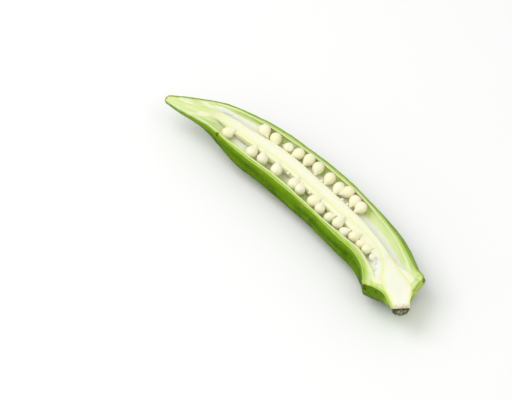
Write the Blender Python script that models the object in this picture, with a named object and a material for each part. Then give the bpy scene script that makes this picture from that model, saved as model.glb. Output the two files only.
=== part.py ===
import math
import random

import bmesh
import bpy
from mathutils import Matrix, Vector

# Half of an okra pod, cut lengthwise and lying on its back with the cut face up.
# The tip points to -X and the stem end to +X. All figures are in millimetres and degrees;
# a profile is a list of (distance from the tip along the pod's axis, value) pairs.
MM = 0.001

# Axis of the pod: which way it heads in the cut plane, 0 being +X.
AXIS_LENGTH = 133
AXIS_STEP = 0.25
HEADINGS = [
    (0, 30.6),
    (10, 28.6),
    (20, 19.6),
    (30, 10.6),
    (45, 6.1),
    (60, 2.5),
    (75, -2),
    (90, -6),
    (100, -10),
    (108, -17),
    (116, -25),
    (133, -31),
]
# How far below the cut face the axis runs.
AXIS_DEPTHS = [(0, 0), (25, 1.2), (50, 1.6), (100, 1.6), (120, 0.8), (133, 0)]

# Skin: five ridges with nearly flat facets between them.
RIDGES = 5
FIRST_RIDGE = -10
RIDGE_SHARPNESS = 2.2
RIDGE_RADII = [
    (0, 1.3),
    (1.5, 2.5),
    (5, 4.3),
    (15, 6.1),
    (23, 7.9),
    (31, 9.5),
    (46, 11),
    (61, 11.6),
    (76, 11.7),
    (92, 11.4),
    (108, 11.2),
    (116, 11.6),
    (119, 12.3),
    (120.2, 11.6),
    (121.2, 9.6),
    (123, 7.4),
    (125.5, 5.3),
    (129, 3.8),
    (133, 3),
]
# Radius half-way between two ridges, as a share of the radius at a ridge.
FACET_SHARES = [(0, 0.94), (15, 0.88), (35, 0.81), (108, 0.81), (119, 0.87), (123, 0.94), (133, 0.96)]
SKIN_OFFSETS = [-20, -8, 0, 8, 20, 36]
# Where the sections of the skin are: closer together at the tip and round the shoulder.
TIP_STATIONS = [0, 0.5, 1.5, 3, 5, 8, 11, 14]
BODY_START = 17
BODY_END = 116
BODY_STEP = 3
SHOULDER_STATIONS = [118, 119, 119.6, 120.2, 121.2, 122.4, 124, 126, 129, 131.5, 133]

# Seed chambers opened by the cut. For each: its side of the column, the angle of the membrane
# that is its floor, the angle up to which the wall is hollow, and its two ends on the axis.
CHAMBERS = {
    "left_chamber": (1, -46, 32, 12.5, 119.5),
    "right_chamber": (-1, -118, -205, 13, 115),
}
WALL_THICKNESSES = [(12, 1.7), (30, 1.4), (60, 1.6), (100, 1.9), (118, 2.6)]
MEMBRANE_LEAN = 5
CHAMBER_EDGE = 0.8
CHAMBER_ARCS = 7
CHAMBER_STATIONS = 36
# How far a cutter stands over the cut face.
CUTTER_TOP = 3
# Size of a chamber near its ends, as a share of its full size.
CHAMBER_ENDS = [(0, 0.15), (1.5, 0.5), (4, 0.8), (8, 0.97), (12, 1)]

# Column: the rod of pale flesh along the axis that the seeds grow from.
COLUMN_START = 20
COLUMN_END = 112
COLUMN_RADII = [(20, 1.3), (31, 2.1), (39, 2.6), (55, 3.1), (105, 3.1), (112, 2.7)]
COLUMN_SIDES = 12
COLUMN_STATIONS = 24
GAP = 0.3

# Seeds, in rows: side of the column, first and last on the axis, how many, and the height of
# their middles over the cut face.
SEED_ROWS = [
    (1, 35.5, 84.5, 11, -0.5),
    (-1, 26, 26, 1, -0.9),
    (-1, 38.5, 105, 14, -0.7),
]
SEED_RADIUS = 2.05
# How far over the level of the axis a seed is nearest to the wall, as an angle.
SEED_ANGLE = 11
SEED_SIDES = 10
SEED_RINGS = 7
# Length of the drawn-out end and how much narrower it gets, as shares of the seed's radius.
SEED_POINT = 1.55
SEED_NARROWING = 0.35
# How deep the point is sunk in the column, and how far under the cut face at most.
ROOT_DEPTH = 0.6
ROOT_DROP = 1
# Most that chance moves a seed along its row, up or down and its point sideways, and the
# least size it gives.
SEED_SLIDE = 0.3
SEED_LIFT = 0.35
SEED_SWING = 0.75
SEED_LEAST = 0.94
RANDOM_SEED = 7

# The pod stands on a narrow flat along its lowest ridge.
FLAT_DEPTH = 12.1
BLOCK_MARGIN = 40
SHARP_ANGLE = 35

# Looks.
GREEN = (0.141, 0.305, 0.02)
GREEN_ROUGHNESS = 0.5
CREAM = (0.9, 0.83, 0.6)
CREAM_ROUGHNESS = 0.45


def profile(pairs, place):
    """Value at a place on the smooth curve through the pairs."""
    if place <= pairs[0][0]:
        return pairs[0][1]
    if place >= pairs[-1][0]:
        return pairs[-1][1]
    index = max(i for i, pair in enumerate(pairs) if pair[0] <= place)

    def slope(i):
        before = pairs[max(i - 1, 0)]
        after = pairs[min(i + 1, len(pairs) - 1)]
        return (after[1] - before[1]) / (after[0] - before[0])

    (left, low), (right, high) = pairs[index], pairs[index + 1]
    width = right - left
    t = (place - left) / width
    ease = 3 * t**2 - 2 * t**3
    bends = slope(index) * (t**3 - 2 * t**2 + t) + slope(index + 1) * (t**3 - t**2)
    return low * (1 - ease) + high * ease + width * bends


def walk_axis():
    """Points on the axis, one for every step of the way from the tip."""
    points = [(0.0, 0.0)]
    for i in range(round(AXIS_LENGTH / AXIS_STEP)):
        heading = math.radians(profile(HEADINGS, (i + 0.5) * AXIS_STEP))
        x, y = points[-1]
        points.append((x + math.cos(heading) * AXIS_STEP, y + math.sin(heading) * AXIS_STEP))
    return points


AXIS = walk_axis()


def spot(distance, across, height):
    """Point in space, given along the axis, across it and over the cut face."""
    step = min(distance / AXIS_STEP, len(AXIS) - 1.000001)
    index = int(step)
    (x0, y0), (x1, y1) = AXIS[index], AXIS[index + 1]
    part = step - index
    heading = math.radians(profile(HEADINGS, distance))
    x = x0 + (x1 - x0) * part - math.sin(heading) * across
    y = y0 + (y1 - y0) * part + math.cos(heading) * across
    return Vector((x, y, height)) * MM


def from_axis(distance, radius, angle):
    """Across and height of a point given by its radius and angle round the axis."""
    turn = math.radians(angle)
    return radius * math.cos(turn), radius * math.sin(turn) - profile(AXIS_DEPTHS, distance)


def skin_radius(distance, angle):
    """From the axis to the skin: most at a ridge and least half-way between two."""
    half = 180 / RIDGES
    off = abs((angle - FIRST_RIDGE + half) % (2 * half) - half) / half
    share = profile(FACET_SHARES, distance)
    rise = (1 - share) * (1 - off) ** RIDGE_SHARPNESS
    return profile(RIDGE_RADII, distance) * (share + rise)


def add_collection(name):
    made = bpy.data.collections.new(name)
    bpy.context.scene.collection.children.link(made)
    return made


def add_object(name, form, collection):
    """Object of the form's faces, which frees the form."""
    mesh = bpy.data.meshes.new(name)
    form.to_mesh(mesh)
    form.free()
    made = bpy.data.objects.new(name, mesh)
    collection.objects.link(made)
    return made


def loft(name, stations, section, collection):
    """Closed body through the sections at the stations, with flat ends."""
    form = bmesh.new()
    rings = []
    for distance in stations:
        corners = section(distance)
        rings.append([form.verts.new(spot(distance, *corner)) for corner in corners])
    for ring, following in zip(rings, rings[1:]):
        for i in range(len(ring)):
            j = (i + 1) % len(ring)
            form.faces.new((ring[i], ring[j], following[j], following[i]))
    form.faces.new(rings[0])
    form.faces.new(rings[-1])
    bmesh.ops.recalc_face_normals(form, faces=form.faces)
    return add_object(name, form, collection)


def skin_section(distance):
    corners = []
    for ridge in range(RIDGES):
        for offset in SKIN_OFFSETS:
            angle = FIRST_RIDGE + ridge * 360 / RIDGES + offset
            corners.append(from_axis(distance, skin_radius(distance, angle), angle))
    return corners


def column_section(distance, growth=0.0):
    radius = profile(COLUMN_RADII, distance) + growth
    step = 360 / COLUMN_SIDES
    return [from_axis(distance, radius, (i + 0.5) * step) for i in range(COLUMN_SIDES)]


def slot_section(distance):
    return column_section(distance, GAP)


def wall_radius(distance, angle):
    """From the axis to the inside of the wall."""
    return skin_radius(distance, angle) - profile(WALL_THICKNESSES, distance)


def chamber_section(side, floor, ceiling, start, end):
    """Section of a chamber: floor on the membrane, wall outside and open above."""
    first = floor + side * MEMBRANE_LEAN

    def section(distance):
        column = profile(COLUMN_RADII, distance)
        edge = side * column * CHAMBER_EDGE
        corners = [(edge, CUTTER_TOP), from_axis(distance, column, first)]
        for i in range(CHAMBER_ARCS + 1):
            angle = first + (ceiling - first) * i / CHAMBER_ARCS
            corners.append(from_axis(distance, wall_radius(distance, angle), angle))
        corners.append((corners[-1][0], CUTTER_TOP))
        share = profile(CHAMBER_ENDS, min(distance - start, end - distance))
        return [(edge + (across - edge) * share, height * share) for across, height in corners]

    return section


def spread(start, end, count):
    return [start + (end - start) * i / (count - 1) for i in range(count)]


def block(name, low, high, collection):
    """Box that spans the whole pod between two heights."""
    size = AXIS_LENGTH + 2 * BLOCK_MARGIN
    form = bmesh.new()
    bmesh.ops.create_cube(form, size=1)
    scale = Matrix.Diagonal((size * MM, size * MM, (high - low) * MM, 1))
    middle = Matrix.Translation(Vector((AXIS_LENGTH / 2, 0, (low + high) / 2)) * MM)
    form.transform(middle @ scale)
    return add_object(name, form, collection)


def cut(target, cutter):
    modifier = target.modifiers.new("cut " + cutter.name, "BOOLEAN")
    modifier.operation = "DIFFERENCE"
    modifier.solver = "EXACT"
    modifier.object = cutter


def add_seed(root, centre, radius, collection):
    """One seed: a ball drawn out to the point by which it hangs at its root."""
    form = bmesh.new()
    bmesh.ops.create_uvsphere(form, u_segments=SEED_SIDES, v_segments=SEED_RINGS, radius=1)
    for vertex in form.verts:
        if vertex.co.z > 0:
            narrow = 1 - SEED_NARROWING * vertex.co.z
            vertex.co.x *= narrow
            vertex.co.y *= narrow
            vertex.co.z *= SEED_POINT
    reach = root - centre
    length = max(radius * MM, reach.length / SEED_POINT)
    scale = Matrix.Diagonal((radius * MM, radius * MM, length, 1))
    turn = reach.to_track_quat("Z", "Y").to_matrix().to_4x4()
    form.transform(Matrix.Translation(centre) @ turn @ scale)
    add_object("seed", form, collection)


def place_seeds(collection):
    """Rows of seeds, each with its point sunk in the column."""
    chance = random.Random(RANDOM_SEED)
    for side, first, last, count, height in SEED_ROWS:
        places = spread(first, last, count) if count > 1 else [first]
        for place in places:
            distance = place + chance.uniform(-SEED_SLIDE, SEED_SLIDE)
            column = profile(COLUMN_RADII, distance)
            level = SEED_ANGLE if side > 0 else 180 - SEED_ANGLE
            room = wall_radius(distance, level) - column - 2 * GAP
            radius = min(SEED_RADIUS, room / 2) * chance.uniform(SEED_LEAST, 1)
            middle = height + chance.uniform(-SEED_LIFT, SEED_LIFT)
            centre = spot(distance, side * (column + GAP + room / 2), middle)
            drop = min(ROOT_DROP, profile(AXIS_DEPTHS, distance))
            swing = chance.uniform(-SEED_SWING, SEED_SWING)
            root = spot(distance + swing, side * (column - ROOT_DEPTH), -drop)
            add_seed(root, centre, radius, collection)


def fuse(target, collection):
    """Target made one body with the collection's objects, which are then removed."""
    union = target.modifiers.new("fuse", "BOOLEAN")
    union.operation = "UNION"
    union.solver = "EXACT"
    union.operand_type = "COLLECTION"
    union.collection = collection
    fused = evaluated_mesh(target)
    target.modifiers.clear()
    target.data = fused
    for member in list(collection.objects):
        bpy.data.objects.remove(member)
    bpy.data.collections.remove(collection)


def evaluated_mesh(source):
    graph = bpy.context.evaluated_depsgraph_get()
    return bpy.data.meshes.new_from_object(source.evaluated_get(graph))


def material(name, colour, roughness):
    made = bpy.data.materials.new(name)
    made.use_nodes = True
    shader = made.node_tree.nodes["Principled BSDF"]
    shader.inputs["Base Color"].default_value = (*colour, 1)
    shader.inputs["Roughness"].default_value = roughness
    shader.inputs["Metallic"].default_value = 0
    return made


def finish(target, name, colour, roughness):
    """Target with its one material and its round faces smooth."""
    target.data.materials.clear()
    target.data.materials.append(material(name, colour, roughness))
    target.data.shade_smooth()
    target.data.set_sharp_from_angle(angle=math.radians(SHARP_ANGLE))


def build_wall(parts, cutters):
    """Wall, ribs and stem end as they have grown, halved and opened."""
    body = list(range(BODY_START, BODY_END + 1, BODY_STEP))
    wall = loft("pod_wall", TIP_STATIONS + body + SHOULDER_STATIONS, skin_section, parts)
    finish(wall, "okra_green", GREEN, GREEN_ROUGHNESS)
    cut(wall, block("upper_half", 0, BLOCK_MARGIN, cutters))
    for name, figures in CHAMBERS.items():
        places = spread(*figures[-2:], CHAMBER_STATIONS)
        cut(wall, loft(name, places, chamber_section(*figures), cutters))
    places = spread(COLUMN_START - GAP, COLUMN_END + GAP, COLUMN_STATIONS)
    cut(wall, loft("column_slot", places, slot_section, cutters))
    cut(wall, block("floor", -BLOCK_MARGIN, -FLAT_DEPTH, cutters))
    return wall


def build_column(parts, cutters):
    """Column cut level with the wall, with the whole seeds that hang on it."""
    places = spread(COLUMN_START, COLUMN_END, COLUMN_STATIONS)
    column = loft("seed_column", places, column_section, parts)
    cut(column, cutters.objects["upper_half"])
    seeds = add_collection("seeds")
    place_seeds(seeds)
    fuse(column, seeds)
    finish(column, "okra_cream", CREAM, CREAM_ROUGHNESS)
    return column


def centre_on_base(parts, cutters):
    """Puts the origin under the middle of the pod, at the level that it stands on."""
    points = [vertex.co for part in parts.objects for vertex in evaluated_mesh(part).vertices]
    lows = [min(point[i] for point in points) for i in range(3)]
    highs = [max(point[i] for point in points) for i in range(3)]
    shift = Vector(((lows[0] + highs[0]) / -2, (lows[1] + highs[1]) / -2, -lows[2]))
    for placed in [*parts.objects, *cutters.objects]:
        placed.location = shift


for old in list(bpy.data.objects):
    bpy.data.objects.remove(old)

parts = add_collection("halved_okra_pod")
cutters = add_collection("cutters")
build_wall(parts, cutters)
build_column(parts, cutters)
centre_on_base(parts, cutters)
for cutter in cutters.objects:
    cutter.hide_render = True
    cutter.display_type = "WIRE"
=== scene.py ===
import math
import random

import bpy
import numpy as np
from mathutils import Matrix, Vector


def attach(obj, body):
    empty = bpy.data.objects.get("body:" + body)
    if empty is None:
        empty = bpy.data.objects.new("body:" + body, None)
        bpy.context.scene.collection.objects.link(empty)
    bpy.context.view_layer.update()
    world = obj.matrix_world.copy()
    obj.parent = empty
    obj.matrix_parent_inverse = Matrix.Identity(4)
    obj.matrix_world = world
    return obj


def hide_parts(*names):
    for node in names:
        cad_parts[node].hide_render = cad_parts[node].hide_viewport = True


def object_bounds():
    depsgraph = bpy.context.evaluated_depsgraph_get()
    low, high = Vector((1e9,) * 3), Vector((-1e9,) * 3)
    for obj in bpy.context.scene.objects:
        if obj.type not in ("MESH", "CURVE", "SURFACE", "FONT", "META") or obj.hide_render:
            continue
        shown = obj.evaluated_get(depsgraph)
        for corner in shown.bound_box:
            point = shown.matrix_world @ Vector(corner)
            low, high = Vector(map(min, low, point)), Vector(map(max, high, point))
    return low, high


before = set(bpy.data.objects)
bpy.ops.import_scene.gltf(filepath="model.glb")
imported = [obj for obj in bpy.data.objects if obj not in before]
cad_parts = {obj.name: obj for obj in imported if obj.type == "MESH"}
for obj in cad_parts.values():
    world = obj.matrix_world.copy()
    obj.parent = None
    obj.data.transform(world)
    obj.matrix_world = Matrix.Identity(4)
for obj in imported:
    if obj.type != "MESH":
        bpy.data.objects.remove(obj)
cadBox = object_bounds()
mm = 0.001

# Shape of the pod. Pairs are (distance from the tip along the axis, value), in mm and degrees.
pod = {
    "length": 133,
    "headings": [
        (0, 24.5), (6, 26), (10, 25.5), (14, 21.5), (20, 17), (26, 12.2), (32, 9), (38, 7.8), (45, 6),
        (60, 2.5), (75, -2), (90, -6), (100, -10), (108, -17), (116, -25), (124, -30), (133, -37),
    ],
    "axisDepths": [(0, 0), (25, 1.2), (50, 1.6), (100, 1.6), (120, 0.8), (133, 0)],
    "ridges": 5,
    "firstRidge": -10,
    "ridgeSharpness": 2.2,
    "ridgeRounding": 0.05,
    "ridgeRadii": [
        (-1.5, 1.2), (-1, 1.8), (0, 2.25), (1.5, 2.75), (5, 3.9), (10, 5.2), (15, 6.5), (23, 8.45),
        (31, 10.1), (36, 10.95), (42, 11.4), (61, 11.85), (76, 11.95), (92, 11.8), (108, 11.25),
        (116, 11.25), (119, 11.6), (120.2, 11), (121.2, 9.4), (123, 7.4), (125.5, 5.6), (129, 4.1),
        (133, 3.2),
    ],
    "facetShares": [
        (0, 0.94), (15, 0.88), (35, 0.82), (80, 0.82), (92, 0.81), (98, 0.77), (104, 0.77),
        (112, 0.82), (118, 0.9), (123, 0.96), (133, 0.97),
    ],
    "sideShifts": [
        (0, 0), (9.5, 0), (14, 0.2), (19, 0.4), (24, 0.2), (31, -0.15), (45, -0.2), (60, -0.4), (75, -0.4),
        (82, -0.55), (93, -0.5), (100, -0.25), (107, -0.55), (112, -0.9), (117, -1), (121, -0.6), (133, -0.4),
    ],
    "ringPlace": 119.6,
    "ringSlant": 1.1,
    "ringReach": ((104, 117), (124, 130)),
    "wallThicknesses": [(12, 1.7), (30, 1.4), (60, 1.6), (100, 1.9), (118, 2.6)],
    "tipHeights": [(0, 0.58), (8, 0.56), (16, 0.66), (24, 0.88), (31, 1)],
    "tipDome": 0.25,
    "ribHeight": 0.22,
    "ribWidth": 3.5,
    "ribReach": ((10, 30), (118, 121)),
    "veinHeight": 0.07,
    "veinPlace": 0.62,  # share of the way from a ridge to the middle of a facet
    "veinWidth": 2.5,
    "neckBelly": 1.6,
    "neckReach": ((120.6, 123.5), (126, 131)),
    "lumpHeight": 0.045,
    # size, turns along, turns round the pod and start of each wave
    "lumpWaves": [(1, 0.43, 0.05, 0), (1, 0.19, -0.083, 2), (0.6, 1.21, 0.031, 4)],
    "flatDepth": 12.1,
    "stationGap": 0.5,
    "fineGap": 0.2,
    "fineStretches": ((-1.5, 4), (117, 125)),
    "skinPoints": 96,
    "rimPoints": 8,
    "chamberPoints": 22,
    "sidePoints": 4,
    "pithPoints": 8,
    "edgeRounds": 12,
    "sharpAngle": 38,
    "endRings": 7,
    "stemDome": 1.5,
    "stemRoughness": 1.2,
    "stemSink": 0.6,
    "stemRipple": (0.12, 21),
    "raggedness": 0.8,
    "raggedFrom": 130.8,
}

# The chambers that the cut opened: outer and inner edge of each on the cut face, its floor's
# angle round the axis, its two ends, and over what length it closes and deepens there.
chambers = {
    "left": {
        "side": 1,
        "outer": [(12, 4.3), (16.5, 5.4), (20, 6), (24, 6.4), (28, 6.6), (32, 7), (37, 7.3), (45, 7.5),
                  (55, 7.8), (69, 7.8), (75, 8), (86, 7.8), (93, 7.3), (99, 7.1), (106, 6.5), (110, 6.1),
                  (118, 5.9)],
        "inner": [(0, 0.2), (5, 0.5), (9, 1.6), (13, 3), (18, 3), (22, 2.5), (26, 2.4), (31, 2), (36, 2.3),
                  (45, 2.8), (50, 2.7), (55, 2.5), (61, 2), (66, 1.75), (83, 1.65), (88, 1.9),
                  (109, 1.85), (113, 2.4), (116, 3.6), (118, 5), (120, 4.6), (123, 4.85), (125, 4.7),
                  (129.5, 3.4), (133, 2.5)],
        "floor": -46,
        "lean": 5,
        "depth": 0.55,
        "ends": (13, 118.6),
        "closing": (8, 5),
        "deepening": (18, 11),
        "centres": (0.6, 0.75),
    },
    "right": {
        "side": -1,
        "outer": [(12, 3.5), (13.5, 3.8), (18, 4.6), (21, 5.3), (25, 6.2), (29.5, 7), (35, 7.3), (40, 7.8),
                  (50, 8), (61, 8.4), (67, 8.8), (79, 8.9), (84, 8.6), (90, 7.9), (95, 7.2), (100, 6.3),
                  (105, 6.4), (110, 6.7), (118, 7)],
        "inner": [(0, 0.2), (5, 0.5), (9, 1.4), (12, 2.4), (16.5, 1.7), (20.5, 1.3), (25, 1.7), (30, 2.4),
                  (40, 2.8), (45, 3.2), (55, 3.15), (61, 3.5), (67, 3.8), (78, 3.9), (85, 3.5), (94, 3.2),
                  (103, 3.1), (107, 2.8), (110, 3), (113, 3.9), (115.5, 5), (117, 5.9), (119, 5.2),
                  (122, 4.8), (126, 4.1), (129, 3.5), (133, 2.6)],
        "floor": -118,
        "lean": 5,
        "depth": 0.6,
        "ends": (12, 117.4),
        "closing": (5, 5),
        "deepening": (16, 20),
        "centres": (0.5, 0.8),
    },
}

# How a chamber's lining runs down its wall: share of the way round to the floor, degrees more and
# mm off the wall. It ends on the membrane, so many mm off the column.
lining = {
    "onWall": [(0, -6, 0.1), (0, -20, 0), (0.62, -6, 0), (1, 6, 0.5), (1, 1, 2.4)],
    "offColumn": (1.2, 0.05),
    "leastWidth": 0.03,
    "closingReach": 3,
}

# The column with the seeds, and the pith that carries it on to the stem.
column = {
    "start": 20,
    "end": 106,
    "overlap": 5,
    "bedGap": 0.08,
    "bedReach": ((19.7, 20.3), (105.9, 106.5)),
    "levelReach": ((15, 19), (107, 111)),
    "wholeReach": ((18.5, 20), (106, 107.5)),
    "thinner": 0.3,
    "lift": 0.03,
    "sink": 0.06,
    "stationGap": 0.5,
    "sides": 48,
    "sharpAngle": 50,
    "pithLeft": [(0, 0.3), (5, 0.5), (12, 1), (20, 2.4), (26, 2.4), (31, 2), (36, 2.3), (45, 2.75),
                 (50, 2.65), (55, 2.45), (61, 1.95), (66, 1.7), (83, 1.65), (88, 1.85), (109, 1.8),
                 (113, 2.2), (116, 2.9), (118, 3.4), (120, 4.2), (123, 4.85), (125, 4.7), (129.5, 3.4),
                 (133, 2.5)],
    "pithRight": [(0, 0.3), (5, 0.4), (12, 0.8), (20, 1), (25, 1.6), (30, 2.2), (40, 2.3), (54, 2.2),
                  (60, 2.6), (76, 2.7), (82, 2.5), (87, 1.8), (92, 1), (98, 0.5), (103, 0.7), (107, 1.3),
                  (111, 2.2), (114.7, 3.7), (117, 5), (122, 4.8), (125.6, 4.1), (128.7, 3.5), (133, 2.6)],
}


def profileAt(pairs, place):
    # smooth curve through the pairs, read at one place or at many
    xs, ys = (np.array(v, float) for v in zip(*pairs))
    before = np.concatenate(([0], np.arange(len(xs) - 1)))
    after = np.minimum(np.arange(len(xs)) + 1, len(xs) - 1)
    slopes = (ys[after] - ys[before]) / (xs[after] - xs[before])
    place = np.clip(np.asarray(place, float), xs[0], xs[-1])
    i = np.clip(np.searchsorted(xs, place, side="right") - 1, 0, len(xs) - 2)
    width = xs[i + 1] - xs[i]
    t = (place - xs[i]) / width
    ease = 3 * t**2 - 2 * t**3
    bend = slopes[i] * (t**3 - 2 * t**2 + t) + slopes[i + 1] * (t**3 - t**2)
    return ys[i] * (1 - ease) + ys[i + 1] * ease + width * bend


def smoothStep(low, high, value):
    t = np.clip((np.asarray(value, float) - low) / (high - low), 0, 1)
    return t * t * (3 - 2 * t)


def stretch(along, rise, fall):
    # 1 between the rise and the fall, 0 outside them
    return smoothStep(*rise, along) * (1 - smoothStep(*fall, along))


axisSteps = np.linspace(0, pod["length"], pod["length"] * 10 + 1)
middles = (axisSteps[1:] + axisSteps[:-1]) / 2
turns = np.radians(profileAt(pod["headings"], middles))
axisX = np.concatenate(([0], np.cumsum(np.cos(turns) * np.diff(axisSteps))))
axisY = np.concatenate(([0], np.cumsum(np.sin(turns) * np.diff(axisSteps))))


def spotAt(along, across, height):
    # point in mm from its distance along the axis, across it and over the cut face
    along, across, height = np.broadcast_arrays(along, across, height)
    inside = np.clip(along, 0, pod["length"])
    over = along - inside
    heading = np.radians(profileAt(pod["headings"], inside))
    x = np.interp(inside, axisSteps, axisX) - np.sin(heading) * across + np.cos(heading) * over
    y = np.interp(inside, axisSteps, axisY) + np.cos(heading) * across + np.sin(heading) * over
    return np.stack([x, y, height], axis=-1)


def holderShape(along):
    # the column fills the room between the chambers: its offset from the axis and its radius
    left, right = (profileAt(chambers[name]["inner"], along) for name in ("left", "right"))
    return (left - right) / 2, np.hypot((left + right) / 2, profileAt(pod["axisDepths"], along))


def fromRing(along, angle):
    # distance past the ring where the pod ends, which lies a little aslant
    slant = pod["ringSlant"] * stretch(along, *pod["ringReach"])
    return along - pod["ringPlace"] - slant * np.cos(np.radians(angle))


def skinRadius(along, angle):
    # most at a ridge, least half-way between two
    along = fromRing(along, angle) + pod["ringPlace"]
    half = 180 / pod["ridges"]
    off = np.abs((angle - pod["firstRidge"] + half) % (2 * half) - half) / half
    soft = np.sqrt(off**2 + pod["ridgeRounding"] ** 2)
    rib = pod["ribHeight"] * np.exp(-((off * half / pod["ribWidth"]) ** 2))
    vein = pod["veinHeight"] * np.exp(-(((off - pod["veinPlace"]) * half / pod["veinWidth"]) ** 2))
    lump = sum(size * np.sin(along * a + angle * b + c) for size, a, b, c in pod["lumpWaves"])
    under = np.maximum(-np.sin(np.radians(angle)), 0)
    detail = stretch(along, *pod["ribReach"]) * (rib + vein)
    detail += pod["lumpHeight"] * lump * smoothStep(1, 8, along)
    detail += pod["neckBelly"] * under * stretch(along, *pod["neckReach"])
    share = profileAt(pod["facetShares"], along)
    share = share + (1 - share) * np.maximum(1 - soft, 0) ** pod["ridgeSharpness"]
    return profileAt(pod["ridgeRadii"], along) * share + detail


def cutEdgeAngles(along, depth):
    # angles at which the skin meets the cut face, on the left and on the right
    def settled(start, way):
        angle = np.full_like(along, start)
        for attempt in range(pod["edgeRounds"]):
            rise = np.arcsin(np.clip(depth / skinRadius(along, angle), -1, 1))
            angle = start + way * np.degrees(rise)
        return angle

    return settled(0, 1), settled(180, -1)


def through(controls, count):
    # smooth lines through control points: (rows, controls, 2) gives (rows, count + 1, 2)
    places = np.linspace(0, controls.shape[1] - 1, count + 1)
    i = np.minimum(places.astype(int), controls.shape[1] - 2)
    t = (places - i)[None, :, None]
    padded = np.concatenate([2 * controls[:, :1] - controls[:, 1:2], controls,
                             2 * controls[:, -1:] - controls[:, -2:-1]], axis=1)
    a, b, c, d = (padded[:, i + k] for k in range(4))
    return 0.5 * (2 * b + (c - a) * t + (2 * a - 5 * b + 4 * c - d) * t**2
                  + (3 * b - a - 3 * c + d) * t**3)


def chamberShares(chamber, along):
    # how wide and how deep the chamber is, from 0 at its ends to 1
    start, end = chamber["ends"]
    first, last = chamber["closing"]
    near = np.clip((along - start) / first, 0, 1)
    far = np.clip((end - along) / last, 0, 1)
    wide = np.sqrt(1 - (1 - near) ** 2) * np.sqrt(1 - (1 - far) ** 2.4)
    near = np.clip((along - start) / chamber["deepening"][0], 0, 1)
    far = np.clip((end - along) / chamber["deepening"][1], 0, 1)
    deep = smoothStep(0, 1, near) * smoothStep(0, 1, far) * chamber["depth"]
    return wide, deep


def chamberLine(chamber, along, depth):
    # from the rim down the wall, round the corner and up the membrane to the column
    side = chamber["side"]
    outer, inner = (profileAt(chamber[k], along) for k in ("outer", "inner"))
    wide, deep = chamberShares(chamber, along)
    wall = profileAt(pod["wallThicknesses"], along)
    floor = chamber["floor"] + side * chamber["lean"]
    offset, holder = holderShape(along)
    level = 0 if side > 0 else 180

    def onWall(turn, thicker):
        angle = level + side * turn
        angle = np.where(angle > 180, angle - 360, angle)
        radius = skinRadius(along, angle) - wall - thicker
        radians = np.radians(angle)
        sideways = profileAt(pod["sideShifts"], along)
        return np.stack([sideways + radius * np.cos(radians), radius * np.sin(radians) - depth], axis=-1)

    def offColumn(gap):
        radius, turn = holder + gap, math.radians(floor)
        return np.stack([offset + radius * math.cos(turn), radius * math.sin(turn) - depth], axis=-1)

    floorTurn = -abs(floor + level)
    points = [np.stack([side * outer, 0 * outer], axis=-1)]
    points += [onWall(floorTurn * share + more, thicker) for share, more, thicker in lining["onWall"]]
    points += [offColumn(gap) for gap in lining["offColumn"]]
    line = through(np.stack(points, axis=1), pod["chamberPoints"])
    (start, end), reach = chamber["ends"], lining["closingReach"]
    share = np.where(along < pod["length"] / 2,
                     chamber["centres"][0] * smoothStep(start - reach, start, along),
                     chamber["centres"][1] * (1 - smoothStep(end, end + reach, along)))
    # where it is shallow it is a plain bowl, deeper on it undercuts the wall and the column
    steep = smoothStep(0.25, 1, deep / chamber["depth"])[:, None]
    part = np.linspace(0, 1, line.shape[1])[None, :]
    bowl = side * (outer[:, None] + (inner - outer)[:, None] * part)
    line[..., 0] = bowl + (line[..., 0] - bowl) * steep
    centre = side * (inner + (outer - inner) * share)
    wide = np.maximum(wide, lining["leastWidth"])
    line[..., 0] = centre[:, None] + (line[..., 0] - centre[:, None]) * wide[:, None]
    line[..., 1] = line[..., 1] * deep[:, None] * (1 - smoothStep(0.45, 1, part) * (1 - steep))
    return line, centre + (side * inner - centre) * wide


print("working out the sections of the pod")
stations = np.unique(np.round(np.concatenate([
    np.arange(0, pod["length"] + 0.1, pod["stationGap"]),
    *(np.arange(*ends, pod["fineGap"]) for ends in pod["fineStretches"]),
]), 3))
depths = profileAt(pod["axisDepths"], stations)


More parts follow.
